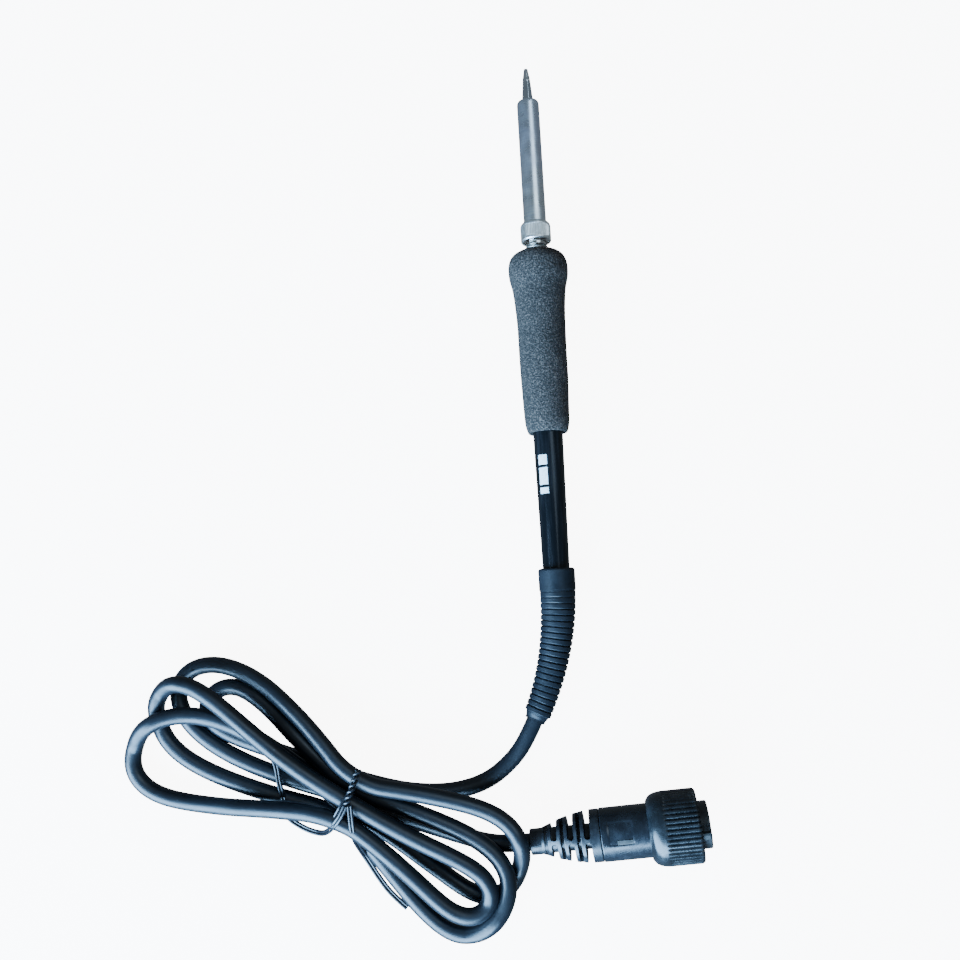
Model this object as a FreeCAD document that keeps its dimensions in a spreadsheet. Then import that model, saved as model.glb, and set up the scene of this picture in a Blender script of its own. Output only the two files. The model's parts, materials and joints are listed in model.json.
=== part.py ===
"""Low-voltage soldering iron on a tied cord with a screw-ring connector.

Millimetres, +Z up, the table at z = 0. The iron lies along Y with its tip towards +Y, and the origin
is under the middle of the iron without its cord. Each piece of the iron is drawn along its own axis
by its station, the distance back from the point of the tip; each piece of the connector by its
distance from the small end of its boot.
"""
import FreeCAD, Part
import math
import os
import re

import Sketcher

V = FreeCAD.Vector

DIMS = {
    # tip, along the iron's stations
    "tip_end_round": 0.5,
    "tip_end_radius": 0.8,
    "tip_tinned_length": 5.2,
    "tip_tinned_radius": 1.5,
    "tip_front_radius": 2.15,
    "tip_shoulder": 14.5,
    "tip_body_radius": 3.2,
    "tip_rear": 42.0,
    "tip_bore_front": 17.2,
    "tip_bore_radius": 2.0,
    # barrel, the tube that holds the tip on the heater
    "barrel_front": 13.3,
    "barrel_radius": 4.2,
    "barrel_wall": 0.4,
    "barrel_lip": 1.0,
    "barrel_face_radius": 3.1,
    "barrel_mouth_radius": 2.4,
    "barrel_round": 1.4,
    "barrel_seat_front": 61.2,
    "barrel_seat_radius": 4.0,
    "barrel_flange_front": 62.9,
    "barrel_flange_radius": 4.85,
    "barrel_rear": 63.9,
    # nut that clamps the barrel's flange to the nipple
    "nut_front": 61.6,
    "nut_rear": 69.0,
    "nut_radius": 5.65,
    "nut_face_radius": 4.9,
    "nut_round": 1.3,
    "nut_lip": 1.2,
    "nut_lip_bore": 4.28,
    "nut_thread_bore": 4.95,
    "nut_edge": 0.4,
    # nipple, the threaded metal bush at the front of the handle
    "nipple_front": 64.0,
    "nipple_thread_radius": 4.9,
    "nipple_thread_rear": 68.4,
    "nipple_neck_radius": 3.8,
    "nipple_neck_front": 68.9,
    "nipple_neck_rear": 70.5,
    "nipple_flare_rear": 73.2,
    "nipple_flare_radius": 5.2,
    "nipple_flange_radius": 5.55,
    "nipple_spigot_radius": 4.6,
    "nipple_spigot_rear": 83.0,
    "nipple_bore": 2.2,
    "nipple_counterbore": 3.4,
    "nipple_counterbore_front": 77.0,
    # ceramic heating element and what holds it
    "element_front": 17.5,
    "element_rear": 84.0,
    "element_radius": 1.92,
    "collar_radius": 3.2,
    "collar_length": 3.0,
    "spring_radius": 2.75,
    "spring_wire_radius": 0.3,
    "spring_front": 80.5,
    "spring_length": 12.0,
    "spring_pitch": 1.6,
    # handle tube and foam grip
    "handle_front": 75.0,
    "handle_rear": 190.1,
    "handle_radius": 5.6,
    "handle_taper_front": 128.0,
    "handle_grip_radius": 5.4,
    "handle_rear_radius": 4.8,
    "handle_bore": 4.65,
    "handle_rear_bore": 3.5,
    "handle_bore_step": 138.0,
    "foam_front": 72.9,
    "foam_rear": 141.2,
    "foam_bore": 5.65,
    "foam_face_radius": 6.6,
    "foam_bulge_station": 80.0,
    "foam_bulge_radius": 11.0,
    "foam_shoulder_station": 88.0,
    "foam_shoulder_radius": 9.75,
    "foam_neck_station": 98.0,
    "foam_neck_radius": 8.9,
    "foam_middle_station": 121.0,
    "foam_middle_radius": 8.7,
    "foam_tail_station": 137.5,
    "foam_tail_radius": 8.15,
    "foam_end_radius": 6.3,
    # terminal board and wiring in the handle
    "board_front": 95.0,
    "board_length": 30.0,
    "board_width": 8.6,
    "board_thickness": 1.0,
    "lead_radius": 0.3,
    "lead_rear": 99.0,
    "heater_lead_offset": 0.5,
    "sensor_lead_offset": 1.3,
    "conductor_radius": 0.5,
    "conductor_front": 118.0,
    "conductor_pitch": 1.2,
    "jacket_front": 170.0,
    "clamp_front": 178.0,
    "clamp_length": 5.0,
    "clamp_radius": 3.4,
    # strain relief, a rubber collar with a bent, tapering boot
    "relief_spigot_front": 184.0,
    "relief_spigot_radius": 3.45,
    "relief_collar_radius": 6.55,
    "relief_collar_rear": 197.9,
    "relief_collar_round": 1.0,
    "relief_root_radius": 6.0,
    "relief_end_radius": 4.3,
    "relief_length": 46.5,
    "relief_turn": 27.0,
    # cord, its hank and the tie
    "cord_radius": 2.9,
    "neck_centre_x": -76.5,
    "neck_centre_y": -169.9,
    "neck_angle": 150.0,
    "neck_radius": 8.8,
    "hank_height": 17.6,
    "tie_width": 3.0,
    "tie_thickness": 1.1,
    "tie_knot_radius": 1.3,
    # connector
    "plug_boot_end_radius": 4.3,
    "plug_boot_end_length": 4.0,
    "plug_boot_waist": 10.0,
    "plug_boot_waist_radius": 6.5,
    "plug_boot_head_radius": 8.6,
    "plug_boot_head": 20.7,
    "plug_slot_width": 1.7,
    "plug_slot_pitch": 2.85,
    "plug_slot_first": 4.7,
    "plug_slot_core": 1.2,
    "plug_shell_front": 24.2,
    "plug_shell_rear": 41.6,
    "plug_shell_radius": 8.75,
    "plug_shell_bore": 7.5,
    "ring_front": 40.2,
    "ring_rear": 57.2,
    "ring_radius": 12.1,
    "ring_dome": 5.6,
    "ring_lip_bore": 8.83,
    "ring_lip": 1.8,
    "ring_thread_bore": 10.7,
    "ring_edge": 0.6,
    "nose_front": 41.6,
    "nose_rear": 60.4,
    "nose_radius": 7.7,
    "nose_bore": 6.5,
    "nose_flange_front": 42.2,
    "nose_flange_length": 1.5,
    "nose_flange_radius": 10.4,
    "key_width": 2.6,
    "key_depth": 0.7,
    "key_length": 12.0,
    "insert_front": 45.0,
    "insert_length": 8.0,
    "pin_radius": 0.75,
    "pin_circle_radius": 4.3,
    "pin_front": 42.0,
    "pin_length": 16.5,
    "plug_wire_radius": 0.5,
}

# The cord from the end of the boot to the hank: centre-line points x, y, z. The last lies inside the
# hank, where the tube is trimmed.
LEAD_BEYOND_BOOT = 8.0
LEAD_ROUTE = [
    (-20.8, -160.3, 3.5),
    (-28.6, -166.2, 2.95),
    (-37.9, -169.5, 2.95),
]

# The loops of the hank, each from the neck: bearing in degrees from +X, then reach, width and height.
HANK_LOOPS = [
    (167.5, 76.0, 27.0, 12.0),
    (151.0, 78.5, 22.0, 17.6),
    (140.0, 71.0, 27.0, 12.0),
    (-21.0, 64.0, 28.0, 14.0),
    (-39.0, 66.5, 28.0, 14.0),
]

# Where the boot's small end stands over the table, and the connector's bearing from +X in degrees.
PLUG_END_X = -14.6
PLUG_END_Y = -187.8
PLUG_YAW = 4.2
PLUG_PINS = 5
PIN_ANGLE_STEP = 45.0
CONDUCTORS = 5
PLUG_SLOTS = 6
RELIEF_SECTIONS = 7
FLOOR_GAP = 0.02

ALONG_AXIS = FreeCAD.Rotation(V(1, 0, 0), -90)


def make_sheet(doc):
    """The driving dimensions, one cell and one alias each."""
    sheet = doc.addObject("Spreadsheet::Sheet", "Dims")
    for row, (alias, size) in enumerate(DIMS.items(), start=1):
        sheet.set(f"A{row}", alias)
        sheet.set(f"B{row}", str(size))
        sheet.setAlias(f"B{row}", alias)
    doc.recompute()
    return sheet


def named(text):
    """An expression in aliases, as the document reads it."""
    return re.sub(r"[a-z]\w*", lambda word: "Dims." + word.group(0), text)


class Workshop:
    """Makes pieces in one document, with every size bound to the sheet."""

    def __init__(self, name):
        self.doc = FreeCAD.newDocument(name)
        self.sheet = make_sheet(self.doc)
        self.pieces = []

    def size(self, text):
        """The number that an expression in aliases gives now."""
        found = self.sheet.evalExpression(named(text))
        return float(getattr(found, "Value", found))

    def bind(self, item, **expressions):
        for prop, text in expressions.items():
            item.setExpression(prop, named(text))

    def keep(self, item, label, placement=None):
        """Lists a finished piece under the label that names its file."""
        item.Label = label
        if placement is not None:
            item.Placement = placement
        self.pieces.append(item)
        return item

    def sketch(self, body, name, plane="XY_Plane"):
        drawing = body.newObject("Sketcher::SketchObject", name)
        origin = [f for f in body.Origin.OriginFeatures if f.Role == plane]
        drawing.AttachmentSupport = (origin[0], [""])
        drawing.MapMode = "FlatFace"
        return drawing

    def pin_corner(self, drawing, edge, position, station, radius):
        """Holds one corner of an outline at its station and radius."""
        on_axis = radius == "0"
        at_start = station == "0"
        if on_axis and at_start:
            drawing.addConstraint(Sketcher.Constraint("Coincident", edge, position, -1, 1))
            return
        if on_axis:
            drawing.addConstraint(Sketcher.Constraint("PointOnObject", edge, position, -2))
        else:
            self.bound_distance(drawing, "DistanceX", edge, position, radius)
        if at_start:
            drawing.addConstraint(Sketcher.Constraint("PointOnObject", edge, position, -1))
        else:
            self.bound_distance(drawing, "DistanceY", edge, position, station)

    def bound_distance(self, drawing, kind, edge, position, text):
        where = drawing.addConstraint(
            Sketcher.Constraint(kind, -1, 1, edge, position, self.size(text)))
        drawing.setExpression(f"Constraints[{where}]", named(text))

    def outline(self, drawing, corners):
        """A closed outline. A corner is (station, radius), or (station, radius, station, radius),
        where the last two are a point that the arc arriving at the corner passes through."""
        spots = [V(self.size(c[1]), self.size(c[0]), 0) for c in corners]
        count = len(corners)
        ends = []
        for i in range(count):
            start, corner, stop = spots[i], corners[(i + 1) % count], spots[(i + 1) % count]
            if len(corner) == 2:
                edge = drawing.addGeometry(Part.LineSegment(start, stop), False)
                ends.append((edge, 1, 2))
                continue
            through = V(self.size(corner[3]), self.size(corner[2]), 0)
            edge = drawing.addGeometry(Part.Arc(start, through, stop), False)
            swapped = drawing.getPoint(edge, 1).distanceToPoint(start) > 1e-6
            ends.append((edge, 2, 1) if swapped else (edge, 1, 2))
        for i, (edge, first, last) in enumerate(ends):
            follower, follower_first, _ = ends[(i + 1) % count]
            drawing.addConstraint(
                Sketcher.Constraint("Coincident", edge, last, follower, follower_first))
            self.pin_corner(drawing, edge, first, corners[i][0], corners[i][1])

    def turned(self, name, corners):
        """A body of revolution about its own Y axis."""
        body = self.doc.addObject("PartDesign::Body", name)
        drawing = self.sketch(body, name + "_outline")
        self.outline(drawing, corners)
        self.doc.recompute()
        turning = body.newObject("PartDesign::Revolution", name + "_turning")
        turning.Profile = drawing
        turning.ReferenceAxis = (drawing, ["V_Axis"])
        turning.Angle = 360
        self.doc.recompute()
        return body

    def rod(self, name, radius, front, length, across=0.0, up=0.0):
        """A cylinder along the piece's own Y axis."""
        rod = self.doc.addObject("Part::Cylinder", name)
        self.bind(rod, Radius=radius, Height=length)
        rod.Placement = FreeCAD.Placement(V(across, self.size(front), up), ALONG_AXIS)
        return rod

    def box(self, name, corner, **sides):
        block = self.doc.addObject("Part::Box", name)
        self.bind(block, **sides)
        block.Placement = FreeCAD.Placement(corner, FreeCAD.Rotation())
        return block

    def combine(self, kind, name, **links):
        """A Part boolean, loft, sweep or compound of other items."""
        item = self.doc.addObject(kind, name)
        for prop, link in links.items():
            setattr(item, prop, link)
        self.doc.recompute()
        return item

    def fixed(self, name, shape):
        """A piece whose shape comes from Part's own functions."""
        item = self.doc.addObject("Part::Feature", name)
        item.Shape = shape
        return item


def iron_tilt(shop):
    """The slope of the iron's axis, lying on the grip's bulge and the strain relief's collar."""
    drop = shop.size("foam_bulge_radius - relief_collar_radius")
    run = shop.size("relief_collar_rear - foam_bulge_station") - shop.size("4 * relief_collar_round")
    return math.atan2(drop, run)


def iron_placement(shop):
    """Stations run back from the tip, which points along +Y and a little up."""
    tilt = iron_tilt(shop)
    turn = FreeCAD.Rotation(V(1, 0, 0), math.degrees(tilt)) * FreeCAD.Rotation(V(0, 0, 1), 180)
    height = (shop.size("foam_bulge_radius") * math.cos(tilt)
              + shop.size("foam_bulge_station") * math.sin(tilt) + FLOOR_GAP)
    return FreeCAD.Placement(V(0, shop.size("handle_rear / 2") * math.cos(tilt), height), turn)


def plug_placement(shop):
    """Distances run from the boot's small end to the nose, along +X and a little up. The connector
    lies on the boot's head and on the coupling ring."""
    rise = shop.size("ring_radius - plug_boot_head_radius")
    run = shop.size("ring_front + ring_dome - plug_boot_head")
    tilt = math.atan2(rise, run)
    turn = FreeCAD.Rotation(V(0, 0, 1), PLUG_YAW - 90) * FreeCAD.Rotation(V(1, 0, 0), math.degrees(tilt))
    height = (shop.size("plug_boot_head_radius") * math.cos(tilt)
              - shop.size("plug_boot_head") * math.sin(tilt) + FLOOR_GAP)
    return FreeCAD.Placement(V(PLUG_END_X, PLUG_END_Y, height), turn)


def make_tip(shop, place):
    tip = shop.turned("tip", [
        ("0", "0"),
        ("tip_end_round", "tip_end_radius", "0.25 * tip_end_round", "0.66 * tip_end_radius"),
        ("tip_tinned_length", "tip_tinned_radius"),
        ("barrel_front", "tip_front_radius"),
        ("tip_shoulder", "tip_front_radius"),
        ("tip_shoulder", "tip_body_radius"),
        ("tip_rear", "tip_body_radius"),
        ("tip_rear", "tip_bore_radius"),
        ("tip_bore_front", "tip_bore_radius"),
        ("tip_bore_front", "0"),
    ])
    shop.keep(tip, "tip", place)


def make_barrel(shop, place):
    inside = "barrel_radius - barrel_wall"
    barrel = shop.turned("tip_barrel", [
        ("barrel_front", "barrel_mouth_radius"),
        ("barrel_front", "barrel_face_radius"),
        ("barrel_front + barrel_round", "barrel_radius",
         "barrel_front + 0.3 * barrel_round", "0.27 * barrel_face_radius + 0.73 * barrel_radius"),
        ("barrel_seat_front", "barrel_radius"),
        ("barrel_seat_front", "barrel_seat_radius"),
        ("barrel_flange_front", "barrel_seat_radius"),
        ("barrel_flange_front", "barrel_flange_radius"),
        ("barrel_rear", "barrel_flange_radius"),
        ("barrel_rear", inside),
        ("barrel_front + barrel_lip", inside),
        ("barrel_front + barrel_lip", "barrel_mouth_radius"),
    ])
    shop.keep(barrel, "tip_barrel", place)


def make_nut(shop, place):
    nut = shop.turned("barrel_nut", [
        ("nut_front", "nut_lip_bore"),
        ("nut_front", "nut_face_radius"),
        ("nut_front + nut_round", "nut_radius",
         "nut_front + 0.4 * nut_round", "0.3 * nut_face_radius + 0.7 * nut_radius"),
        ("nut_rear - nut_edge", "nut_radius"),
        ("nut_rear", "nut_radius - nut_edge"),
        ("nut_rear", "nut_thread_bore"),
        ("nut_front + nut_lip", "nut_thread_bore"),
        ("nut_front + nut_lip", "nut_lip_bore"),
    ])
    shop.keep(nut, "barrel_nut", place)


def make_nipple(shop, place):
    nipple = shop.turned("nipple", [
        ("nipple_front", "nipple_bore"),
        ("nipple_front", "nipple_thread_radius"),
        ("nipple_thread_rear", "nipple_thread_radius"),
        ("nipple_neck_front", "nipple_neck_radius"),
        ("nipple_neck_rear", "nipple_neck_radius"),
        ("nipple_flare_rear", "nipple_flare_radius"),
        ("nipple_flare_rear", "nipple_flange_radius"),
        ("handle_front", "nipple_flange_radius"),
        ("handle_front", "nipple_spigot_radius"),
        ("nipple_spigot_rear", "nipple_spigot_radius"),
        ("nipple_spigot_rear", "nipple_counterbore"),
        ("nipple_counterbore_front", "nipple_counterbore"),
        ("nipple_counterbore_front", "nipple_bore"),
    ])
    shop.keep(nipple, "nipple", place)


def make_element(shop, place):
    """The ceramic rod, the ceramic collar that seats it, and the spring that earths the nipple."""
    rod = shop.rod("heating_element", "element_radius", "element_front",
                   "element_rear - element_front")
    shop.keep(rod, "heating_element", place.multiply(rod.Placement))
    collar = shop.turned("element_collar", [
        ("nipple_counterbore_front", "element_radius"),
        ("nipple_counterbore_front", "collar_radius"),
        ("nipple_counterbore_front + collar_length", "collar_radius"),
        ("nipple_counterbore_front + collar_length", "element_radius"),
    ])
    shop.keep(collar, "element_collar", place)
    make_spring(shop, place)


def make_spring(shop, place):
    body = shop.doc.addObject("PartDesign::Body", "earth_spring")
    wire = shop.sketch(body, "spring_wire")
    centre = V(shop.size("spring_radius"), 0, 0)
    wire.addGeometry(Part.Circle(centre, V(0, 0, 1), shop.size("spring_wire_radius")), False)
    wire.addConstraint(Sketcher.Constraint("PointOnObject", 0, 3, -1))
    shop.bound_distance(wire, "DistanceX", 0, 3, "spring_radius")
    thickness = wire.addConstraint(
        Sketcher.Constraint("Radius", 0, shop.size("spring_wire_radius")))
    wire.setExpression(f"Constraints[{thickness}]", named("spring_wire_radius"))
    shop.doc.recompute()
    coil = body.newObject("PartDesign::AdditiveHelix", "spring_coil")
    coil.Profile = wire
    coil.ReferenceAxis = (wire, ["V_Axis"])
    coil.Mode = "pitch-height-angle"
    shop.bind(coil, Pitch="spring_pitch", Height="spring_length")
    shop.doc.recompute()
    local = FreeCAD.Placement(V(0, shop.size("spring_front"), 0), FreeCAD.Rotation())
    shop.keep(body, "earth_spring", place.multiply(local))


def make_handle(shop, place):
    handle = shop.turned("handle", [
        ("handle_front", "handle_bore"),
        ("handle_front", "handle_radius"),
        ("handle_taper_front", "handle_radius"),
        ("foam_rear", "handle_grip_radius"),
        ("handle_rear", "handle_rear_radius"),
        ("handle_rear", "handle_rear_bore"),
        ("handle_bore_step", "handle_rear_bore"),
        ("handle_taper_front", "handle_bore"),
    ])
    shop.keep(handle, "handle", place)


def make_grip(shop, place):
    grip = shop.turned("foam_grip", [
        ("foam_front", "foam_bore"),
        ("foam_front", "foam_face_radius"),
        ("foam_bulge_station", "foam_bulge_radius",
         "foam_front + 0.24 * (foam_bulge_station - foam_front)",
         "foam_face_radius + 0.68 * (foam_bulge_radius - foam_face_radius)"),
        ("foam_shoulder_station", "foam_shoulder_radius",
         "0.5 * (foam_bulge_station + foam_shoulder_station)",
         "0.3 * foam_shoulder_radius + 0.7 * foam_bulge_radius"),
        ("foam_neck_station", "foam_neck_radius",
         "0.5 * (foam_neck_station + foam_shoulder_station)",
         "0.3 * foam_shoulder_radius + 0.7 * foam_neck_radius"),
        ("foam_middle_station", "foam_middle_radius"),
        ("foam_tail_station", "foam_tail_radius"),
        ("foam_rear", "foam_end_radius",
         "0.28 * foam_tail_station + 0.72 * foam_rear",
         "0.62 * foam_tail_radius + 0.38 * foam_end_radius"),
        ("foam_rear", "foam_bore"),
    ])
    shop.keep(grip, "foam_grip", place)


def make_board(shop, place):
    """The terminal board, with the element's leads and the cord's conductors lying on it."""
    top = shop.size("board_thickness / 2")
    corner = V(-shop.size("board_width / 2"), shop.size("board_front"), -top)
    board = shop.box("terminal_board", corner, Length="board_width", Width="board_length",
                     Height="board_thickness")
    shop.keep(board, "terminal_board", place.multiply(board.Placement))
    lead_up = top + shop.size("lead_radius")
    for label, offset in (("heater_leads", "heater_lead_offset"), ("sensor_leads", "sensor_lead_offset")):
        wires = [shop.rod(f"{label}_{side}", "lead_radius", "element_rear",
                          "lead_rear - element_rear", side * shop.size(offset), lead_up)
                 for side in (-1, 1)]
        group = shop.combine("Part::Compound", label, Links=wires)
        shop.keep(group, label, place)
    middle = (CONDUCTORS - 1) / 2
    pitch = shop.size("conductor_pitch")
    wires = [shop.rod(f"conductor_{i}", "conductor_radius", "conductor_front",
                      "jacket_front - conductor_front", (i - middle) * pitch,
                      top + shop.size("conductor_radius"))
             for i in range(CONDUCTORS)]
    group = shop.combine("Part::Compound", "cord_conductors", Links=wires)
    shop.keep(group, "cord_conductors", place)


def make_cord_end(shop, place):
    """The end of the cord's jacket inside the handle, and the clamp that stops it pulling out."""
    jacket = shop.rod("cord_jacket_end", "cord_radius", "jacket_front",
                      "relief_spigot_front - jacket_front")
    shop.keep(jacket, "cord_jacket_end", place.multiply(jacket.Placement))
    clamp = shop.turned("cord_clamp", [
        ("clamp_front", "cord_radius"),
        ("clamp_front", "clamp_radius"),
        ("clamp_front + clamp_length", "clamp_radius"),
        ("clamp_front + clamp_length", "cord_radius"),
    ])
    shop.keep(clamp, "cord_clamp", place)


def relief_spot(shop, share):
    """A point of the boot's bent centre line, with the boot's heading there, in stations."""
    turn = math.radians(shop.size("relief_turn"))
    bend = shop.size("relief_length") / turn
    angle = turn * share
    point = V(bend * (1 - math.cos(angle)),
              shop.size("relief_collar_rear") + bend * math.sin(angle), 0)
    return point, V(math.sin(angle), math.cos(angle), 0)


def make_relief(shop, place):
    """A collar with a spigot in the handle, and a boot that tapers along a bend."""
    collar = shop.turned("relief_collar", [
        ("relief_spigot_front", "0"),
        ("relief_spigot_front", "relief_spigot_radius"),
        ("handle_rear", "relief_spigot_radius"),
        ("handle_rear", "relief_collar_radius - relief_collar_round"),
        ("handle_rear + relief_collar_round", "relief_collar_radius",
         "handle_rear + 0.29 * relief_collar_round",
         "relief_collar_radius - 0.29 * relief_collar_round"),
        ("relief_collar_rear - relief_collar_round", "relief_collar_radius"),
        ("relief_collar_rear", "relief_root_radius"),
        ("relief_collar_rear", "0"),
    ])
    rings = []
    for i in range(RELIEF_SECTIONS):
        share = i / (RELIEF_SECTIONS - 1)
        point, heading = relief_spot(shop, share)
        ring = shop.doc.addObject("Part::Circle", f"relief_ring_{i}")
        shop.bind(ring, Radius=f"relief_root_radius + {share} * (relief_end_radius - relief_root_radius)")
        ring.Placement = FreeCAD.Placement(point, FreeCAD.Rotation(V(0, 0, 1), heading))
        rings.append(ring)
    shop.doc.recompute()
    boot = shop.combine("Part::Loft", "relief_boot", Sections=rings, Solid=True)
    relief = shop.combine("Part::Fuse", "strain_relief", Base=collar, Tool=boot)
    shop.keep(relief, "strain_relief", place)


def lead_route(shop, place):
    """The cord's centre line from the boot's end to a point inside the hank."""
    end, heading = relief_spot(shop, 1.0)
    start = place.multVec(end)
    onward = place.Rotation.multVec(heading)
    return [start, start + onward * LEAD_BEYOND_BOOT] + [V(*point) for point in LEAD_ROUTE]


def rounded_wire(points):
    """Straight runs joined by tangent arcs, each as large as its two runs allow."""
    edges, radii = [], []
    here = points[0]
    for before, corner, after in zip(points, points[1:], points[2:]):
        back, ahead = (before - corner), (after - corner)
        reach = 0.45 * min(back.Length, ahead.Length)
        back.normalize()
        ahead.normalize()
        half_turn = (math.pi - back.getAngle(ahead)) / 2
        radius = reach / math.tan(half_turn)
        inward = (back + ahead).normalize()
        start, stop = corner + back * reach, corner + ahead * reach
        middle = corner + inward * (radius / math.cos(half_turn) - radius)
        edges.append(Part.LineSegment(here, start).toShape())
        edges.append(Part.Arc(start, middle, stop).toShape())
        radii.append(radius)
        here = stop
    edges.append(Part.LineSegment(here, points[-1]).toShape())
    return Part.Wire(edges), radii


def tube(points, radius, label):
    """A round tube along a rounded route, with its radii and its volume checked."""
    wire, radii = rounded_wire(points)
    profile = Part.Wire([Part.makeCircle(radius, points[0], points[1] - points[0])])
    solid = wire.makePipeShell([profile], True, True)
    expected = math.pi * radius**2 * wire.Length
    print(label, "length", round(wire.Length, 1), "radii", [round(r, 1) for r in radii],
          "volume share", round(solid.Volume / expected, 4))
    return solid


def loop_outline(centre, bearing, reach, width, neck):
    """The outside of one loop of the hank: a tapered slot from the neck to the loop's round end."""
    along = V(math.cos(math.radians(bearing)), math.sin(math.radians(bearing)), 0)
    across = V(-along.y, along.x, 0)
    span = reach - width
    lean = math.asin((width - neck) / span) if abs(width - neck) < span else 0.0
    far = centre + along * span
    side = across * math.cos(lean) - along * math.sin(lean)
    other = across * -math.cos(lean) - along * math.sin(lean)
    return Part.Wire([
        Part.LineSegment(centre + side * neck, far + side * width).toShape(),
        Part.Arc(far + side * width, far + along * width, far + other * width).toShape(),
        Part.LineSegment(far + other * width, centre + other * neck).toShape(),
        Part.Arc(centre + other * neck, centre - along * neck, centre + side * neck).toShape(),
    ])


def neck_frame(shop):
    """A placement at the hank's neck, its X along the bundle."""
    centre = V(shop.size("neck_centre_x"), shop.size("neck_centre_y"), 0)
    return FreeCAD.Placement(centre, FreeCAD.Rotation(V(0, 0, 1), shop.size("neck_angle")))


def hank_solid(shop):
    """The outer shape of the folded cord: the outline of every loop that shows at its edge."""
    neck, radius = shop.size("neck_radius"), shop.size("cord_radius")
    centre = neck_frame(shop).Base
    solid = Part.makeCylinder(neck, shop.size("hank_height"), centre)
    for bearing, reach, width, height in HANK_LOOPS:
        outline = loop_outline(centre, bearing, reach + radius, width / 2 + radius, neck)
        solid = solid.fuse(Part.Face(outline).extrude(V(0, 0, height)))
    return solid.removeSplitter()


def tie_solid(shop):
    """A band round the neck of the hank, with its twisted ends as a knot on top."""
    half, thick = shop.size("neck_radius"), shop.size("tie_thickness")
    width, height = shop.size("tie_width"), shop.size("hank_height")
    outer = Part.makeBox(width, 2 * (half + thick), height + thick, V(-width / 2, -half - thick, 0))
    inner = Part.makeBox(width, 2 * half, height - thick, V(-width / 2, -half, thick))
    knot = Part.makeCylinder(shop.size("tie_knot_radius"), 2 * half,
                             V(0, -half, height + thick), V(0, 1, 0))
    band = outer.cut(inner).fuse(knot).removeSplitter()
    band.Placement = neck_frame(shop)
    return band


def make_cord(shop, place, plug_place):
    """The hank, its tie, and the cord's free stretch, each trimmed to meet the next."""
    tie = tie_solid(shop)
    beyond = Part.makeBox(40, 80, 40, V(-40, 0, -20))
    beyond.Placement = plug_place.multiply(FreeCAD.Placement(V(20, 0, 0), FreeCAD.Rotation()))
    hank = hank_solid(shop).cut(tie).cut(beyond)
    if hank.Solids[1:]:
        raise RuntimeError("the hank is in pieces")
    lead = tube(lead_route(shop, place), shop.size("cord_radius"), "cord_lead").cut(hank)
    shop.keep(shop.fixed("cord_hank", hank.Solids[0]), "cord_hank")
    shop.keep(shop.fixed("twist_tie", tie), "twist_tie")
    shop.keep(shop.fixed("cord_lead", lead.Solids[0]), "cord_lead")


def make_plug_boot(shop, place):
    """A bell-shaped boot, cut by pairs of slots that alternate between its sides and its top and bottom."""
    bell = shop.turned("plug_bell", [
        ("0", "0"),
        ("0", "plug_boot_end_radius"),
        ("plug_boot_end_length", "plug_boot_end_radius"),
        ("plug_boot_waist", "plug_boot_waist_radius"),
        ("plug_boot_head", "plug_boot_head_radius",
         "0.5 * (plug_boot_waist + plug_boot_head)",
         "0.38 * plug_boot_waist_radius + 0.62 * plug_boot_head_radius"),
        ("plug_shell_front", "plug_boot_head_radius"),
        ("plug_shell_front", "0"),
    ])
    slots = []
    core, deep = shop.size("plug_slot_core + cord_radius / 4"), shop.size("plug_boot_head_radius")
    for i in range(PLUG_SLOTS):
        front = shop.size(f"plug_slot_first + {i} * plug_slot_pitch")
        width = "plug_slot_width"
        for side in (0, 1):
            low = core if side else -core - deep
            if i % 2:
                corner = V(low, front, -deep)
                sides = {"Length": "plug_boot_head_radius", "Height": "2 * plug_boot_head_radius"}
            else:
                corner = V(-deep, front, low)
                sides = {"Length": "2 * plug_boot_head_radius", "Height": "plug_boot_head_radius"}
            slots.append(shop.box(f"plug_slot_{i}_{side}", corner, Width=width, **sides))
    cutters = shop.combine("Part::Compound", "plug_slots", Links=slots)
    core_rod = shop.rod("plug_core", "cord_radius + plug_slot_core", "0", "plug_shell_front")
    cut = shop.combine("Part::Cut", "plug_boot_slotted", Base=bell, Tool=cutters)
    boot = shop.combine("Part::Fuse", "plug_boot", Base=cut, Tool=core_rod)
    shop.keep(boot, "plug_boot", place)


def make_plug_shell(shop, place):
    shell = shop.turned("plug_shell", [
        ("plug_shell_front", "plug_shell_bore"),
        ("plug_shell_front", "plug_shell_radius"),
        ("plug_shell_rear", "plug_shell_radius"),
        ("plug_shell_rear", "plug_shell_bore"),
    ])
    shop.keep(shell, "plug_shell", place)


def make_ring(shop, place):
    ring = shop.turned("coupling_ring", [
        ("ring_front", "ring_lip_bore"),
        ("ring_front", "ring_lip_bore + 0.3"),
        ("ring_front + ring_dome", "ring_radius",
         "ring_front + 0.32 * ring_dome", "0.3 * ring_lip_bore + 0.7 * ring_radius"),
        ("ring_rear - ring_edge", "ring_radius"),
        ("ring_rear", "ring_radius - ring_edge"),
        ("ring_rear", "ring_thread_bore"),
        ("ring_front + ring_lip", "ring_thread_bore"),
        ("ring_front + ring_lip", "ring_lip_bore"),
    ])
    shop.keep(ring, "coupling_ring", place)


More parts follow.
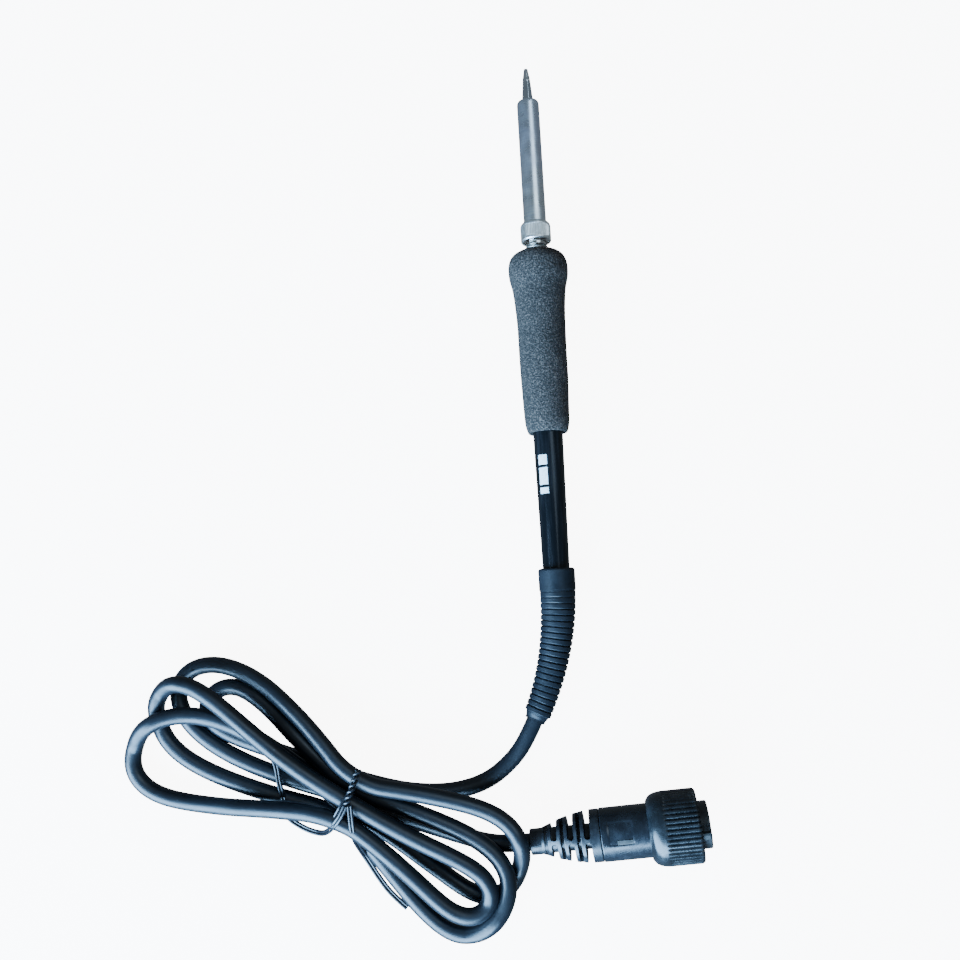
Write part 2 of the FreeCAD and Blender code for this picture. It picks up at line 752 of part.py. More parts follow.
def make_nose(shop, place):
    """The connector's mating sleeve, with the flange that holds the ring and a keyway along its top."""
    sleeve = shop.turned("nose_sleeve", [
        ("nose_front", "nose_bore"),
        ("nose_front", "nose_radius"),
        ("nose_flange_front", "nose_radius"),
        ("nose_flange_front", "nose_flange_radius"),
        ("nose_flange_front + nose_flange_length", "nose_flange_radius"),
        ("nose_flange_front + nose_flange_length", "nose_radius"),
        ("nose_rear", "nose_radius"),
        ("nose_rear", "nose_bore"),
    ])
    corner = V(-shop.size("key_width / 2"), shop.size("nose_rear - key_length"),
               shop.size("nose_radius - key_depth"))
    key = shop.box("nose_keyway", corner, Length="key_width", Width="key_length + 1",
                   Height="key_depth + 1")
    nose = shop.combine("Part::Cut", "plug_nose", Base=sleeve, Tool=key)
    shop.keep(nose, "plug_nose", place)


def pin_spots(shop):
    """Where the contacts stand, spaced round the lower part of their circle."""
    spots = []
    for i in range(PLUG_PINS):
        angle = math.radians(-90 + (i - (PLUG_PINS - 1) / 2) * PIN_ANGLE_STEP)
        reach = shop.size("pin_circle_radius")
        spots.append((reach * math.cos(angle), reach * math.sin(angle)))
    return spots


def make_contacts(shop, place):
    """The insulating disc, the contacts through it, and the wires behind them."""
    disc = shop.rod("insert_disc", "nose_bore", "insert_front", "insert_length")
    holes = [shop.rod(f"insert_hole_{i}", "pin_radius", "insert_front - 1", "insert_length + 2", x, z)
             for i, (x, z) in enumerate(pin_spots(shop))]
    drill = shop.combine("Part::Compound", "insert_holes", Links=holes)
    insert = shop.combine("Part::Cut", "plug_insert", Base=disc, Tool=drill)
    shop.keep(insert, "plug_insert", place)
    pins = [shop.rod(f"contact_{i}", "pin_radius", "pin_front", "pin_length", x, z)
            for i, (x, z) in enumerate(pin_spots(shop))]
    shop.keep(shop.combine("Part::Compound", "plug_contacts", Links=pins), "plug_contacts", place)
    wires = [shop.rod(f"plug_wire_{i}", "plug_wire_radius", "plug_shell_front",
                      "pin_front - plug_shell_front", x, z)
             for i, (x, z) in enumerate(pin_spots(shop))]
    shop.keep(shop.combine("Part::Compound", "plug_wires", Links=wires), "plug_wires", place)


def check(shop):
    """Stops if an item failed, or if a piece isn't one or more sound solids."""
    shop.doc.recompute()
    failed = [item.Name for item in shop.doc.Objects if {"Invalid", "Error"} & set(item.State)]
    if failed:
        raise RuntimeError(f"failed: {failed}")
    for piece in shop.pieces:
        shape = piece.Shape
        if shape.isNull() or not shape.isValid() or not shape.Solids:
            raise RuntimeError(f"{piece.Label} isn't a sound solid")
        box = shape.BoundBox
        print(f"{piece.Label:18s} {len(shape.Solids)} solid(s) {shape.Volume:9.1f} mm3",
              f"x {box.XMin:.1f}..{box.XMax:.1f} y {box.YMin:.1f}..{box.YMax:.1f}",
              f"z {box.ZMin:.2f}..{box.ZMax:.2f}")


def export(shop):
    os.makedirs("parts", exist_ok=True)
    for piece in shop.pieces:
        piece.Shape.exportStep(f"parts/{piece.Label}.step")


def main():
    shop = Workshop("soldering_iron")
    iron = iron_placement(shop)
    plug = plug_placement(shop)
    for make in (make_tip, make_barrel, make_nut, make_nipple, make_element, make_handle,
                 make_grip, make_board, make_cord_end, make_relief):
        make(shop, iron)
    for make in (make_plug_boot, make_plug_shell, make_ring, make_nose, make_contacts):
        make(shop, plug)
    make_cord(shop, iron, plug)
    check(shop)
    export(shop)


main()
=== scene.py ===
"""The looks of the soldering iron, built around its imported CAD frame.

Metres, +Z up, the table at z = 0. Sizes in the tables below are millimetres, as on a drawing. The
iron and the connector are each drawn along their own axis: a piece's local Y runs back from the tip,
or from the boot's small end to the connector's nose, and local Z points up.
"""
import json
import math

import bmesh
import bpy
from mathutils import Matrix, Vector


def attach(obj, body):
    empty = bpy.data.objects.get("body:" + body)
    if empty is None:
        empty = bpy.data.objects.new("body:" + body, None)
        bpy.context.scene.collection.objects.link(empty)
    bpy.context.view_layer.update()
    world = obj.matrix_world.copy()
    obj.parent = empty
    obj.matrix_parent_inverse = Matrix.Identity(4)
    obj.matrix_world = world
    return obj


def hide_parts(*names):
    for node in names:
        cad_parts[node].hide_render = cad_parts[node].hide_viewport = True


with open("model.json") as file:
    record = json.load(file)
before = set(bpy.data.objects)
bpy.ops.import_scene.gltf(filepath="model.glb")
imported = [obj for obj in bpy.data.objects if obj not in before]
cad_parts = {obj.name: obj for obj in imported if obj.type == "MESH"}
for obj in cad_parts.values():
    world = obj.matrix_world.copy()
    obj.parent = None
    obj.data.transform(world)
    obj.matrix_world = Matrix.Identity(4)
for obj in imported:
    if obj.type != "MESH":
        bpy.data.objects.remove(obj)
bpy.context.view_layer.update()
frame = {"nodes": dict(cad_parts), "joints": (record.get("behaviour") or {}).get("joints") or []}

MM = 0.001


def mm(*numbers):
    """A point given in millimetres."""
    return Vector(numbers) * MM


# ---------------------------------------------------------------- camera

CAMERA_PLACE = mm(-28.5, -119.1, 350.0)
CAMERA_TURN = math.radians(-2.95)
CAMERA_LEAN = math.radians(9.5)


def make_camera():
    """A phone held 350 mm over the table, leaning a little forward."""
    data = bpy.data.cameras.new("camera")
    data.sensor_width = 36.0
    data.lens = 36.0
    data.clip_start = 0.01
    camera = bpy.data.objects.new("camera", data)
    camera.matrix_world = (Matrix.Translation(CAMERA_PLACE)
                           @ Matrix.Rotation(CAMERA_TURN, 4, "Z")
                           @ Matrix.Rotation(CAMERA_LEAN, 4, "X"))
    bpy.context.scene.collection.objects.link(camera)
    bpy.context.scene.camera = camera


make_camera()

# ---------------------------------------------------------------- places


def joint(name):
    """A joint's row in the frame."""
    return next(j for j in frame["joints"] if j["name"] == name)


def axis_place(pos, axis, first_node):
    """A matrix whose Y runs along an axis, from the first point of a CAD node on it."""
    along = Vector(axis).normalized()
    start = min(vertex.co.dot(along) for vertex in frame["nodes"][first_node].data.vertices)
    origin = Vector(pos) + along * (start - Vector(pos).dot(along))
    up = (Vector((0, 0, 1)) - along * along.z).normalized()
    side = along.cross(up)
    turn = Matrix((side, along, up)).transposed().to_4x4()
    return Matrix.Translation(origin) @ turn


IRON = axis_place(joint("nut_turn")["pos_m"], [-x for x in joint("nut_turn")["axis"]], "tip")
PLUG = axis_place(joint("ring_turn")["pos_m"], joint("ring_turn")["axis"], "plug_boot")

# ---------------------------------------------------------------- mesh tools


def finish_mesh(name, mesh, place, crease=35.0):
    """Turns a bmesh in a piece's own millimetres into an object, set down at its place."""
    bmesh.ops.remove_doubles(mesh, verts=mesh.verts, dist=0.0005)
    bmesh.ops.recalc_face_normals(mesh, faces=mesh.faces)
    data = bpy.data.meshes.new(name)
    mesh.to_mesh(data)
    mesh.free()
    data.transform(place @ Matrix.Scale(MM, 4))
    data.shade_smooth()
    data.set_sharp_from_angle(angle=math.radians(crease))
    piece = bpy.data.objects.new(name, data)
    bpy.context.scene.collection.objects.link(piece)
    return piece


def rounded(corners, steps=6):
    """An outline from (station, radius, round) corners, each rounded by a curve of that size."""
    spots = [Vector(corner[:2]) for corner in corners]
    outline = []
    for i, corner in enumerate(corners):
        size = corner[2] if len(corner) == 3 else 0.0
        if size == 0.0 or i in (0, len(corners) - 1):
            outline.append(spots[i])
            continue
        back, ahead = spots[i - 1] - spots[i], spots[i + 1] - spots[i]
        start = spots[i] + back.normalized() * min(size, 0.49 * back.length)
        stop = spots[i] + ahead.normalized() * min(size, 0.49 * ahead.length)
        for k in range(steps + 1):
            share = k / steps
            outline.append(start.lerp(spots[i], share).lerp(spots[i].lerp(stop, share), share))
    return outline


def divided(outline, step):
    """The same outline with no stretch longer than a step."""
    points = [outline[0]]
    for start, stop in zip(outline, outline[1:]):
        count = max(1, math.ceil((stop - start).length / step))
        points += [start.lerp(stop, (k + 1) / count) for k in range(count)]
    return points


def lathe(name, place, outline, sides=128, shape=None, closed=False, crease=35.0):
    """Turns an outline of (station, radius) about local Y. shape(station, radius, angle) may change
    the radius; an angle of zero is up. A closed outline makes a tube's whole wall."""
    mesh = bmesh.new()
    rings = []
    for station, radius in outline:
        ring = []
        for k in range(sides):
            angle = math.tau * k / sides
            reach = shape(station, radius, angle) if shape else radius
            ring.append(mesh.verts.new((reach * math.sin(angle), station, reach * math.cos(angle))))
        rings.append(ring)
    if closed:
        rings.append(rings[0])
    for near, far in zip(rings, rings[1:]):
        for k in range(sides):
            j = (k + 1) % sides
            mesh.faces.new((near[k], near[j], far[j], far[k]))
    return finish_mesh(name, mesh, place, crease)


def swept(name, spots, place, sides=96, crease=35.0):
    """A skin through rings, each given as (centre, heading, radius) in millimetres."""
    mesh = bmesh.new()
    rings = []
    for centre, heading, radius in spots:
        up = Vector((0, 0, 1))
        side = heading.cross(up).normalized()
        rings.append([mesh.verts.new(centre + side * radius * math.sin(math.tau * k / sides)
                                     + up * radius * math.cos(math.tau * k / sides))
                      for k in range(sides)])
    for near, far in zip(rings, rings[1:]):
        for k in range(sides):
            j = (k + 1) % sides
            mesh.faces.new((near[k], near[j], far[j], far[k]))
    return finish_mesh(name, mesh, place, crease)


def smooth_step(low, high, value):
    """0 below a stretch, 1 above it, and an eased rise between."""
    share = min(1.0, max(0.0, (value - low) / (high - low)))
    return share * share * (3 - 2 * share)


def plateau(low, high, edge, value):
    """1 inside a stretch and 0 outside it, eased over an edge at each end."""
    return smooth_step(low, low + edge, value) * (1 - smooth_step(high - edge, high, value))


# ---------------------------------------------------------------- materials


class Finish:
    """A principled material, built up from procedural textures. Its coordinates are in metres: the
    frame's own, or those of the piece's place, whose Y runs along the piece."""

    def __init__(self, name, colour, roughness, metallic=0.0, place=None, **shader):
        self.material = bpy.data.materials.new(name)
        self.material.use_nodes = True
        self.tree = self.material.node_tree
        self.shader = self.tree.nodes["Principled BSDF"]
        self.shader.inputs["Base Color"].default_value = (*colour, 1)
        self.shader.inputs["Roughness"].default_value = roughness
        self.shader.inputs["Metallic"].default_value = metallic
        for socket, value in shader.items():
            self.shader.inputs[socket.replace("_", " ")].default_value = value
        self.place = self.tree.nodes.new("ShaderNodeTexCoord").outputs["Object"]
        if place is not None:
            links = {"Vector": self.place, "Location": place.translation, "Rotation": place.to_euler()}
            self.place = self.node("ShaderNodeMapping", links, vector_type="TEXTURE").outputs[0]
        self.height = None

    def node(self, kind, links=None, **settings):
        made = self.tree.nodes.new(kind)
        for prop, value in settings.items():
            setattr(made, prop, value)
        for socket, value in (links or {}).items():
            if isinstance(value, bpy.types.NodeSocket):
                self.tree.links.new(value, made.inputs[socket])
            else:
                made.inputs[socket].default_value = value
        return made

    def stretched(self, x, y, z):
        """The piece's coordinates with each axis scaled."""
        return self.node("ShaderNodeMapping", {"Vector": self.place, "Scale": (x, y, z)}).outputs[0]

    def noise(self, size, detail=3.0, place=None, roughness=0.55):
        """A noise whose features are about a size in metres across."""
        links = {"Vector": place or self.place, "Scale": 1 / size, "Detail": detail,
                 "Roughness": roughness}
        return self.node("ShaderNodeTexNoise", links).outputs["Fac"]

    def cells(self, size, feature="F1", place=None):
        links = {"Vector": place or self.place, "Scale": 1 / size}
        return self.node("ShaderNodeTexVoronoi", links, feature=feature).outputs["Distance"]

    def ramp(self, factor, *stops):
        """A colour ramp through (position, colour) stops; a plain number is a grey."""
        made = self.node("ShaderNodeValToRGB", {"Fac": factor})
        ends = made.color_ramp.elements
        while len(ends) < len(stops):
            ends.new(0.5)
        for end, (position, colour) in zip(ends, stops):
            end.position = position
            grey = isinstance(colour, (int, float))
            end.color = (colour, colour, colour, 1) if grey else (*colour, 1)
        return made.outputs["Color"]

    def station(self, start, stop):
        """0 to 1 along the piece's own Y, between two stations in millimetres."""
        split = self.node("ShaderNodeSeparateXYZ", {"Vector": self.place})
        made = self.node("ShaderNodeMapRange", {"Value": split.outputs["Y"], "From Min": start * MM,
                                                "From Max": stop * MM})
        return made.outputs["Result"]

    def mixed(self, factor, first, second, blend="MIX"):
        made = self.node("ShaderNodeMix", data_type="RGBA", blend_type=blend)
        for index, value in ((0, factor), (6, first), (7, second)):
            if isinstance(value, bpy.types.NodeSocket):
                self.tree.links.new(value, made.inputs[index])
            else:
                made.inputs[index].default_value = value if index == 0 else (*value, 1)
        return made.outputs[2]

    def total(self, first, second, operation="ADD"):
        made = self.node("ShaderNodeMath", operation=operation)
        for index, value in enumerate((first, second)):
            if isinstance(value, bpy.types.NodeSocket):
                self.tree.links.new(value, made.inputs[index])
            else:
                made.inputs[index].default_value = value
        return made.outputs[0]

    def colour(self, socket):
        self.tree.links.new(socket, self.shader.inputs["Base Color"])
        return self

    def roughness(self, socket):
        self.tree.links.new(socket, self.shader.inputs["Roughness"])
        return self

    def bump(self, socket, depth, strength=1.0):
        """Raises the surface by a height map, its depth in millimetres; calls add up."""
        links = {"Height": socket, "Distance": depth * MM, "Strength": strength}
        made = self.node("ShaderNodeBump", links)
        if self.height is not None:
            self.tree.links.new(self.height, made.inputs["Normal"])
        self.height = made.outputs["Normal"]
        self.tree.links.new(self.height, self.shader.inputs["Normal"])
        return self


def cord_rubber():
    """Satin black jacket: a soft sheen, faint mottling, dust and a few scuffs."""
    made = Finish("cord_rubber", (0.006, 0.009, 0.013), 0.36, IOR=1.5)
    mottle = made.noise(0.018, 4.0)
    dust = made.noise(0.0011, 2.0)
    base = made.ramp(mottle, (0.3, (0.003, 0.005, 0.008)), (0.7, (0.008, 0.012, 0.018)))
    specks = made.ramp(dust, (0.70, 0.0), (0.78, 0.35))
    made.colour(made.mixed(specks, base, (0.08, 0.10, 0.12)))
    made.roughness(made.ramp(made.noise(0.007, 5.0), (0.3, 0.33), (0.7, 0.44)))
    made.bump(made.noise(0.0009, 3.0), 0.02).bump(made.noise(0.006, 2.0), 0.05)
    return made.material


def relief_rubber():
    """Moulded rubber with a greyish bloom."""
    made = Finish("relief_rubber", (0.012, 0.015, 0.019), 0.4, place=IRON, Specular_IOR_Level=0.25,
                  IOR=1.5)
    bloom = made.noise(0.009, 5.0, roughness=0.65)
    made.colour(made.ramp(bloom, (0.32, (0.004, 0.0055, 0.008)), (0.72, (0.012, 0.015, 0.020))))
    made.roughness(made.ramp(made.noise(0.004, 4.0), (0.3, 0.36), (0.7, 0.55)))
    made.bump(made.noise(0.0007, 3.0), 0.015)
    return made.material


def boot_rubber():
    made = Finish("plug_boot_rubber", (0.012, 0.015, 0.02), 0.3, place=PLUG, IOR=1.5)
    dust = made.noise(0.003, 5.0)
    made.colour(made.ramp(dust, (0.4, (0.009, 0.011, 0.015)), (0.8, (0.03, 0.035, 0.04))))
    made.roughness(made.ramp(dust, (0.3, 0.22), (0.8, 0.42)))
    made.bump(made.noise(0.0012, 2.0), 0.015)
    return made.material


def foam():
    """Closed-cell foam: burst cells at the skin. Its colour follows the grain's height, with painted
    shade near black in the low pores and paler raised walls.
    """
    made = Finish("grip_foam", (0.05, 0.055, 0.06), 0.9, place=IRON, IOR=1.45)
    grain_and_pore_shade = made.noise(0.00055, 4.0, roughness=0.75)
    pores = made.cells(0.00055)
    patch = made.noise(0.012, 3.0)
    # Painted shade: the colour drops to near black where the grain is lowest, in the pores.
    base = made.ramp(grain_and_pore_shade, (0.38, (0.003, 0.003, 0.003)), (0.50, (0.026, 0.021, 0.018)),
                     (0.68, (0.19, 0.15, 0.13)))
    worn = made.ramp(patch, (0.35, 0.70), (0.7, 1.0))
    made.colour(made.mixed(1.0, base, worn, "MULTIPLY"))
    made.bump(grain_and_pore_shade, 0.30).bump(pores, 0.22)
    return made.material


def barrel_steel():
    """Turned stainless tube, straw and violet where the heat has reached it."""
    made = Finish("barrel_steel", (0.5, 0.53, 0.58), 0.24, 1.0, IRON)
    along = made.station(13, 64)
    drift = made.noise(0.011, 3.0)
    shift = made.total(along, made.total(drift, 0.35, "MULTIPLY"))
    tint = made.ramp(shift, (0.12, (0.82, 0.90, 0.96)), (0.42, (0.76, 0.82, 0.94)),
                     (0.70, (0.82, 0.85, 0.90)), (1.0, (0.86, 0.88, 0.86)))
    lines = made.noise(0.00025, 2.0, made.stretched(0.02, 1.0, 0.02))
    made.colour(made.mixed(made.ramp(lines, (0.3, 0.0), (0.7, 0.35)), tint, (0.46, 0.52, 0.64)))
    smear = made.noise(0.006, 4.0)
    made.roughness(made.ramp(smear, (0.3, 0.24), (0.7, 0.38)))
    made.bump(lines, 0.0012)
    return made.material


def nut_metal():
    made = Finish("nut_metal", (0.74, 0.76, 0.75), 0.34, 1.0, IRON)
    stain = made.noise(0.002, 4.0)
    made.colour(made.ramp(stain, (0.3, (0.86, 0.88, 0.86)), (0.7, (0.95, 0.95, 0.92))))
    made.roughness(made.ramp(stain, (0.3, 0.28), (0.7, 0.42)))
    made.bump(made.noise(0.0003, 2.0), 0.006)
    return made.material


def nipple_nickel():
    made = Finish("nipple_nickel", (0.70, 0.69, 0.66), 0.12, 1.0, IRON)
    stain = made.noise(0.003, 4.0)
    made.colour(made.ramp(stain, (0.35, (0.74, 0.73, 0.70)), (0.75, (0.52, 0.49, 0.44))))
    made.roughness(made.ramp(stain, (0.3, 0.08), (0.75, 0.24)))
    return made.material


def tip_plating():
    """Bright solder over the point, darker chrome plating behind it."""
    made = Finish("tip_plating", (0.75, 0.77, 0.8), 0.16, 1.0, IRON)
    edge = made.total(made.station(4.4, 6.2), made.total(made.noise(0.0012, 3.0), 0.5, "SUBTRACT"))
    solder = made.ramp(made.noise(0.0009, 3.0), (0.3, (0.78, 0.80, 0.82)), (0.7, (0.90, 0.91, 0.92)))
    chrome = made.ramp(made.noise(0.004, 3.0), (0.3, (0.62, 0.68, 0.74)), (0.7, (0.76, 0.81, 0.86)))
    made.colour(made.mixed(made.ramp(edge, (0.45, 0.0), (0.6, 1.0)), solder, chrome))
    made.roughness(made.ramp(edge, (0.4, 0.22), (0.7, 0.10)))
    made.bump(made.noise(0.0030, 1.0), 0.006, 0.3)
    return made.material


def handle_plastic():
    """Gloss black tube with fine rubbing along it."""
    made = Finish("handle_plastic", (0.004, 0.005, 0.006), 0.16, place=IRON, Specular_IOR_Level=0.34,
                  IOR=1.5)
    rubs = made.noise(0.0012, 4.0, made.stretched(1.0, 0.05, 1.0))
    made.colour(made.ramp(rubs, (0.45, (0.002, 0.003, 0.004)), (0.85, (0.012, 0.013, 0.016))))
    made.roughness(made.ramp(rubs, (0.35, 0.13), (0.75, 0.30)))
    made.bump(made.noise(0.004, 2.0), 0.01)
    return made.material


def moulded(name, colour, low, high, place):
    """Gloss moulded plastic: a faint orange peel, handling haze and hairline scratches."""
    made = Finish(name, colour, (low + high) / 2, place=place, IOR=1.5)
    haze = made.noise(0.004, 5.0, roughness=0.65)
    dull = tuple(channel * 2.6 for channel in colour)
    made.colour(made.ramp(haze, (0.42, colour), (0.85, dull)))
    made.roughness(made.ramp(haze, (0.3, low), (0.75, high)))
    scratches = made.noise(0.0006, 2.0, made.stretched(1.0, 0.08, 1.0))
    made.bump(scratches, 0.004).bump(made.noise(0.002, 2.0), 0.008)
    return made.material


def pvc(name, colour):
    """Glossy coated wire."""
    made = Finish(name, colour, 0.22, IOR=1.5)
    streak = made.noise(0.002, 3.0)
    made.roughness(made.ramp(streak, (0.3, 0.16), (0.7, 0.34)))
    made.bump(made.noise(0.0008, 2.0), 0.01)
    return made.material


def ceramic():
    made = Finish("ceramic", (0.86, 0.84, 0.79), 0.5)
    soot = made.noise(0.004, 5.0)
    made.colour(made.ramp(soot, (0.35, (0.88, 0.86, 0.82)), (0.8, (0.62, 0.57, 0.50))))
    made.bump(made.noise(0.0003, 2.0), 0.01)
    return made.material


def laminate():
    made = Finish("board_laminate", (0.45, 0.32, 0.12), 0.4)
    weave = made.noise(0.0004, 2.0, made.stretched(1.0, 0.2, 1.0))
    made.colour(made.ramp(weave, (0.3, (0.36, 0.25, 0.09)), (0.7, (0.52, 0.38, 0.16))))
    made.bump(weave, 0.01)
    return made.material


def plain_metal(name, colour, low, high):
    made = Finish(name, colour, (low + high) / 2, 1.0)
    stain = made.noise(0.0015, 4.0)
    dull = tuple(channel * 0.7 for channel in colour)
    made.colour(made.ramp(stain, (0.4, colour), (0.8, dull)))
    made.roughness(made.ramp(stain, (0.3, low), (0.7, high)))
    return made.material


def insulation():
    """Five colours of wire, each core told by its place across the bundle."""
    made = Finish("wire_insulation", (0.4, 0.1, 0.08), 0.4)
    cores = made.cells(0.0024, place=made.stretched(1.0, 0.02, 0.02))
    made.colour(made.ramp(cores, (0.1, (0.42, 0.03, 0.02)), (0.3, (0.05, 0.10, 0.40)),
                          (0.5, (0.45, 0.36, 0.04)), (0.7, (0.05, 0.25, 0.06))))
    made.roughness(made.ramp(made.noise(0.002), (0.3, 0.3), (0.7, 0.5)))
    return made.material


def ink():
    made = Finish("mark_ink", (0.78, 0.80, 0.80), 0.5)
    wear = made.noise(0.0008, 4.0)
    made.colour(made.ramp(wear, (0.3, (0.86, 0.88, 0.88)), (0.75, (0.55, 0.58, 0.60))))
    made.bump(wear, 0.004)
    return made.material


def dress(piece, material):
    piece.data.materials.clear()
    piece.data.materials.append(material)
    return piece


# ---------------------------------------------------------------- cord

CORD_DIAMETER = 5.8

# The free stretch, from the strain relief's end to where the hank begins, lies within a millimetre or
# two of the CAD tube's route. Beyond it the cord runs on to the hank's neck. The first two points are
# the relief's end and one straight on from it, and the last lies straight behind the connector. The
# others were placed one by one, guided by spots that a program had turned from the photograph into
# millimetres.
LEAD_ROUTE = [
    (-10.755, -147.54, 4.66),
    (-14.39, -154.66, 4.38),
    (-19.9, -161.3, 3.5),
    (-27.8, -167.1, 2.95),
    (-37.9, -170.0, 2.95),
]
NECK_ENTRY = [
    (-49.0, -170.2, 2.95),
    (-61.0, -168.3, 2.95),
]
PLUG_ROUTE = [
    (-63.5, -176.5, 2.95),
    (-52.0, -180.0, 2.95),
    (-40.0, -184.3, 2.95),
    (-29.0, -187.8, 3.4),
    (-20.5, -188.23, 4.85),
]

# The eight strands through the tie stack three, two and three. Each place is how far it lies across
# the bundle and how high.
NECK = (-76.5, -169.9)
NECK_ACROSS_BEARING = math.radians(60.0)
NECK_ACROSS = (math.cos(NECK_ACROSS_BEARING), math.sin(NECK_ACROSS_BEARING))
STRANDS = {
    "low right": (5.8, 2.95),
    "low middle": (0.0, 2.95),
    "low left": (-5.8, 2.95),
    "mid right": (2.9, 8.15),
    "mid left": (-2.9, 8.15),
    "top right": (5.8, 13.4),
    "top middle": (0.0, 13.4),
    "top left": (-5.8, 13.4),
}

# Each loop of the hank, in the cord's order: bearing in degrees, reach, half width, sideways shift,
# how much fuller its far end is, the way it turns, the strands it leaves and comes back by, and its
# heights at each eighth of the loop. The first five numbers of a row weren't chosen by hand: an
# optimiser fitted them to points traced on the photograph, and they were rounded or moved slightly.
# The first and fourth rows were then moved further. All the heights were chosen one by one.
LOOPS = [
    (142.8, 60.0, 8.0, 0.8, 0.34, 1, "low right", "mid right", (3.0, 3.0, 3.0, 3.0, 3.0, 4.7, 8.4)),
    (-39.5, 64.4, 13.1, 1.5, 0.28, 1, "mid right", "low left", (9.2, 9.2, 9.2, 9.2, 5.5, 3.0, 3.0)),
    (150.2, 74.6, 10.1, 2.3, 0.36, 1, "low left", "top middle", (3.0, 3.0, 3.0, 8.5, 14.0, 15.0, 14.6)),
    (-39.2, 59.2, 5.9, 1.2, 0.70, 1, "top middle", "top left", (13.5, 12.5, 11.0, 9.2, 9.4, 10.4, 12.8)),
    (166.0, 77.1, 14.2, -5.2, 0.07, 1, "top left", "mid left", (8.4, 3.5, 3.0, 3.6, 10.8, 9.2, 9.2)),
    (-26.6, 63.6, 11.2, -2.0, 0.42, -1, "mid left", "top right", (6.6, 3.0, 3.2, 4.5, 12.9, 11.2, 12.2)),
    (143.1, 72.1, 11.9, -0.6, 0.02, -1, "top right", "low middle", (10.0, 5.5, 4.0, 3.0, 3.0, 3.0, 3.0)),
]
POINTS_PER_LOOP = 22
LOOP_MARGIN = 0.028


def height_at(share, heights):
    """A smooth rise and fall through evenly spaced heights."""
    spans = len(heights) - 1
    span = min(spans - 1, int(share * spans))
    blend = smooth_step(0.0, 1.0, share * spans - span)
    return heights[span] * (1 - blend) + heights[span + 1] * blend


def loop_points(bearing, reach, width, shift, fullness, turn, leaves, returns, heights):
    """One loop of the hank, out from the neck and back to it."""
    along = Vector((math.cos(math.radians(bearing)), math.sin(math.radians(bearing))))
    across = Vector((-along.y, along.x)) * turn
    ends = (STRANDS[leaves][1], *heights, STRANDS[returns][1])
    points = []
    for i in range(POINTS_PER_LOOP):
        share = LOOP_MARGIN + (1 - 2 * LOOP_MARGIN) * i / (POINTS_PER_LOOP - 1)
        out = math.sin(math.pi * share)
        side = width * math.sin(math.tau * share) * (1 - fullness * math.cos(math.tau * share))
        side += shift * 4 * out * (1 - out)
        strand = STRANDS[leaves if share < 0.5 else returns][0] * math.cos(math.pi * share) ** 2
        spot = (Vector(NECK) + along * reach * out + across * side + Vector(NECK_ACROSS) * strand)
        points.append((spot.x, spot.y, height_at(share, ends)))
    return points


def cord_route():
    """The cord's points in order: free stretch, neck, seven loops and the run to the connector."""
    route = LEAD_ROUTE + NECK_ENTRY
    for loop in LOOPS:
        route = route + loop_points(*loop)
    plug_end = PLUG.translation / MM
    return route + PLUG_ROUTE + [tuple(plug_end)]


def make_cord():
    """The whole cord as one smooth curve, from the strain relief through the hank to the connector."""
    route = cord_route()
    data = bpy.data.curves.new("cord", "CURVE")
    data.dimensions = "3D"
    data.resolution_u = 8
    data.bevel_depth = CORD_DIAMETER / 2 * MM
    data.bevel_resolution = 14
    spline = data.splines.new("NURBS")
    spline.points.add(len(route) - 1)
    for point, spot in zip(spline.points, route):
        point.co = (*mm(*spot), 1)
    spline.order_u = 3
    spline.use_endpoint_u = True
    cord = bpy.data.objects.new("cord", data)
    bpy.context.scene.collection.objects.link(cord)
    return dress(cord, cord_rubber())


cord = make_cord()
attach(cord, "root")
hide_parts("cord_lead", "cord_hank")

# ---------------------------------------------------------------- iron


def settle(piece, material, body, slot, *nodes):
    """Dresses a piece, rides it on its body and lets it stand for its CAD nodes."""
    dress(piece, material)
    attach(piece, body)
    if nodes:
        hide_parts(*nodes)
    return piece


def make_tip():
    """The point, its cone and the hollow body behind the barrel's lip."""
    outline = rounded([
        (0.0, 0.0), (0.0, 0.75, 0.5), (0.6, 0.85, 0.4), (5.0, 1.5, 0.3), (5.3, 1.5, 0.2),
        (13.6, 2.15), (14.5, 2.15), (14.5, 3.2, 0.2), (42.0, 3.2, 0.2), (42.0, 2.0), (17.2, 2.0),
        (17.2, 0.0),
    ])

    def lumpy(station, radius, angle):
        """Solder lies a little unevenly on the point."""
        cover = 1.0 - smooth_step(4.2, 5.6, station)
        wave = 0.030 * math.sin(2 * angle + 1.3 * station) + 0.02 * math.sin(3 * angle - 2.1 * station)
        return radius * (1 + wave * cover)

    tip = lathe("iron_tip", IRON, divided(outline, 0.6), 96, lumpy)
    settle(tip, tip_plating(), "tip", "tip_plating", "tip")


def make_barrel():
    """A thin tube, lipped over the tip in front and flanged under the nut."""
    outline = rounded([
        (14.3, 2.4), (13.3, 2.4, 0.15), (13.3, 3.2, 0.4), (13.8, 4.2, 1.3), (17.0, 4.2), (62.9, 4.2),
        (62.9, 4.85), (63.9, 4.85), (63.9, 3.8), (14.3, 3.8), (14.3, 2.4),
    ])
    barrel = lathe("iron_barrel", IRON, outline[:-1], 160, closed=True)
    settle(barrel, barrel_steel(), "barrel", "barrel_steel", "tip_barrel")


KNURL_TEETH = 56
KNURL_DEPTH = 0.22
KNURL_FRONT = 63.0
KNURL_REAR = 68.2
KNURL_EDGE = 0.5


